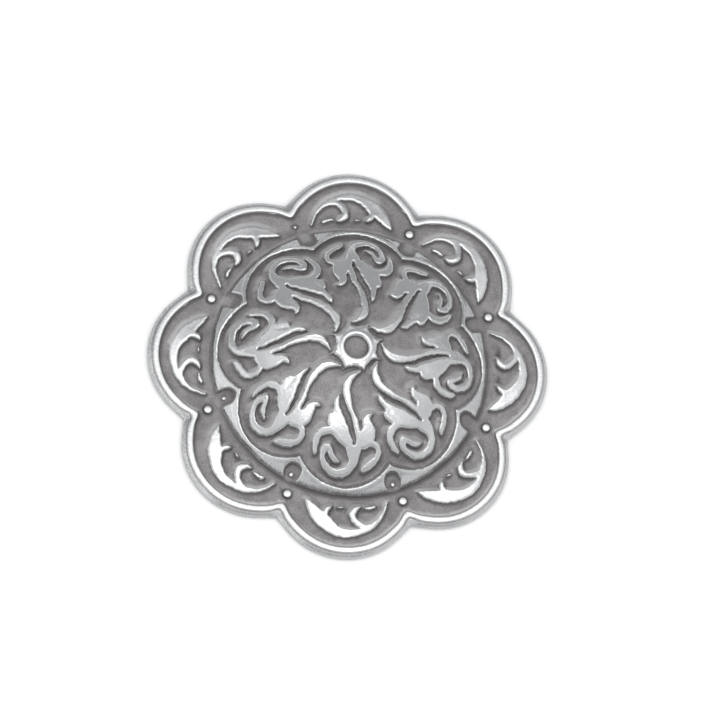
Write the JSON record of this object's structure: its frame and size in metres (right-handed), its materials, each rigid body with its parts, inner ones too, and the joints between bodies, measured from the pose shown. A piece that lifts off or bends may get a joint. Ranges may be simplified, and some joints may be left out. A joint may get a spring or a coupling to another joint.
{
  "type": "concho",
  "caption": "Domed cast concho with a lobed rim, leaf scrolls, a scalloped border ring and a plain screw post behind.",
  "frame": {"origin": "centre of the rim's underside, on the plane that the rim rests on", "axes": "+Z out of the domed front, +Y through the tip of a lobe"},
  "size_m": [0.0382, 0.0382, 0.0066],
  "materials": {
    "antiqued_casting": "antiqued silver plate: polished relief over dark recesses",
    "post_metal": "satin nickel plate"
  },
  "bodies": {
    "root": {"concho_plate": "antiqued_casting", "back_post": "post_metal"}
  },
  "joints": []
}
